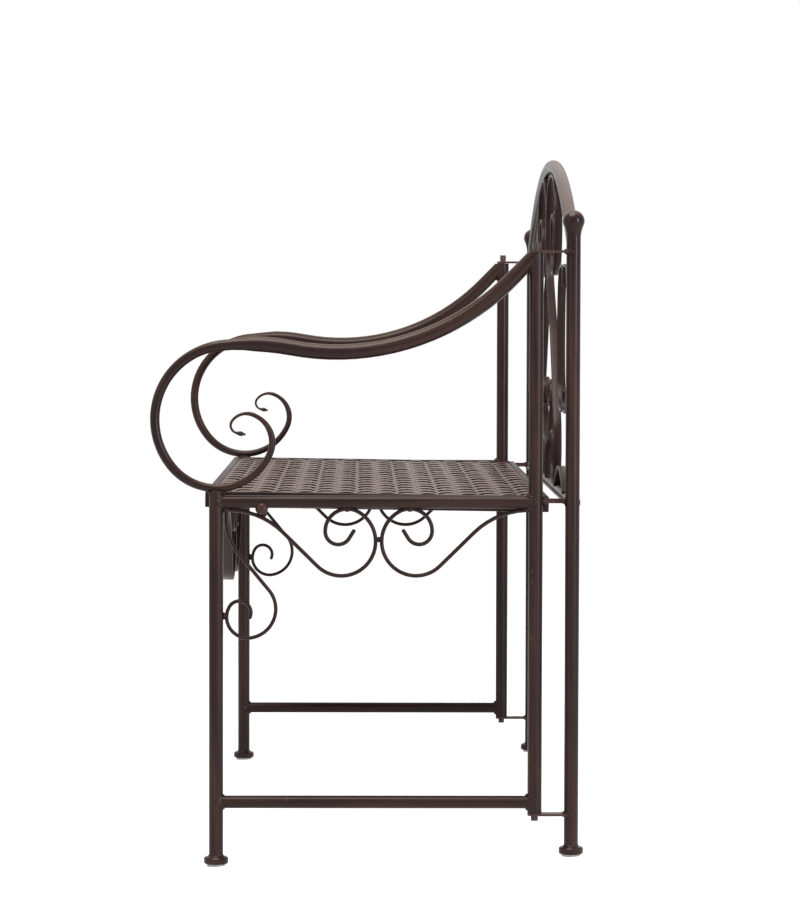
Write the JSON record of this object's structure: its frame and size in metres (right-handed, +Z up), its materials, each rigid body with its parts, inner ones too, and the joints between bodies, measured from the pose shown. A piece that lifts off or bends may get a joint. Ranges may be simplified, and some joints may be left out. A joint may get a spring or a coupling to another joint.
{
  "type": "garden bench",
  "caption": "Folding tubular steel garden bench with rolled armrests, ball finials, an arched scroll-work back and a seat woven from flat straps.",
  "frame": {"origin": "on the floor, under the middle of the overall box", "axes": "+X along the bench towards the right-hand end seen from the front, +Y towards the back, +Z up"},
  "size_m": [1.071, 0.5494, 0.8932],
  "materials": {
    "frame_paint": "semi-gloss dark antique brown",
    "strap_paint": "semi-gloss dark antique brown",
    "hardware": "glossy dark brown",
    "glide": "cloudy clear plastic"
  },
  "bodies": {
    "back_frame": {"arch_tube": "frame_paint", "back_heart_scrolls": "frame_paint", "back_inner_scrolls": "frame_paint", "back_lyre_scrolls": "frame_paint", "back_post_scrolls": "frame_paint", "back_rail": "frame_paint", "back_rail_bows": "frame_paint", "finial_left": "frame_paint", "finial_right": "frame_paint", "pivot_tabs_left": "frame_paint", "pivot_tabs_right": "frame_paint", "post_left": "frame_paint", "post_right": "frame_paint", "rear_foot_left": "frame_paint", "rear_foot_right": "frame_paint", "rear_glide_left": "glide", "rear_glide_right": "glide", "seat_lug_left": "frame_paint", "seat_lug_right": "frame_paint", "seat_pin_left": "hardware", "seat_pin_right": "hardware"},
    "right_side": {"upright_right": "frame_paint", "front_leg_right": "frame_paint", "front_foot_right": "frame_paint", "front_glide_right": "glide", "seat_rail_right": "frame_paint", "stretcher_right": "frame_paint", "armrest_right": "frame_paint", "apron_rear_right": "frame_paint", "apron_front_right": "frame_paint", "leg_bracket_right": "frame_paint", "seat_rest_right": "frame_paint", "rest_stud_right": "hardware", "pivot_bolts_right": "hardware"},
    "left_side": {"upright_left": "frame_paint", "front_leg_left": "frame_paint", "front_foot_left": "frame_paint", "front_glide_left": "glide", "seat_rail_left": "frame_paint", "stretcher_left": "frame_paint", "armrest_left": "frame_paint", "apron_rear_left": "frame_paint", "apron_front_left": "frame_paint", "leg_bracket_left": "frame_paint", "seat_rest_left": "frame_paint", "rest_stud_left": "hardware", "pivot_bolts_left": "hardware"},
    "seat": {"seat_apron_left": "frame_paint", "seat_apron_right": "frame_paint", "seat_braces": "frame_paint", "seat_rim_front": "frame_paint", "seat_rim_left": "frame_paint", "seat_rim_rear": "frame_paint", "seat_rim_right": "frame_paint", "seat_straps_cross": "strap_paint", "seat_straps_long": "strap_paint"}
  },
  "joints": [
    {"name": "seat_fold", "type": "hinge", "parent": "back_frame", "child": "seat", "pos_m": [0, 0.21555, 0.44718], "axis": [-1, 0, 0], "range_deg": [0, 90]},
    {"name": "right_side_swing", "type": "hinge", "parent": "back_frame", "child": "right_side", "pos_m": [0.52, 0.20071, 0.40615], "axis": [0, 0.0287, 0.9996], "range_deg": [0, 90]},
    {"name": "left_side_swing", "type": "hinge", "parent": "back_frame", "child": "left_side", "pos_m": [-0.52, 0.20071, 0.40615], "axis": [0, -0.0287, -0.9996], "range_deg": [0, 90]}
  ]
}
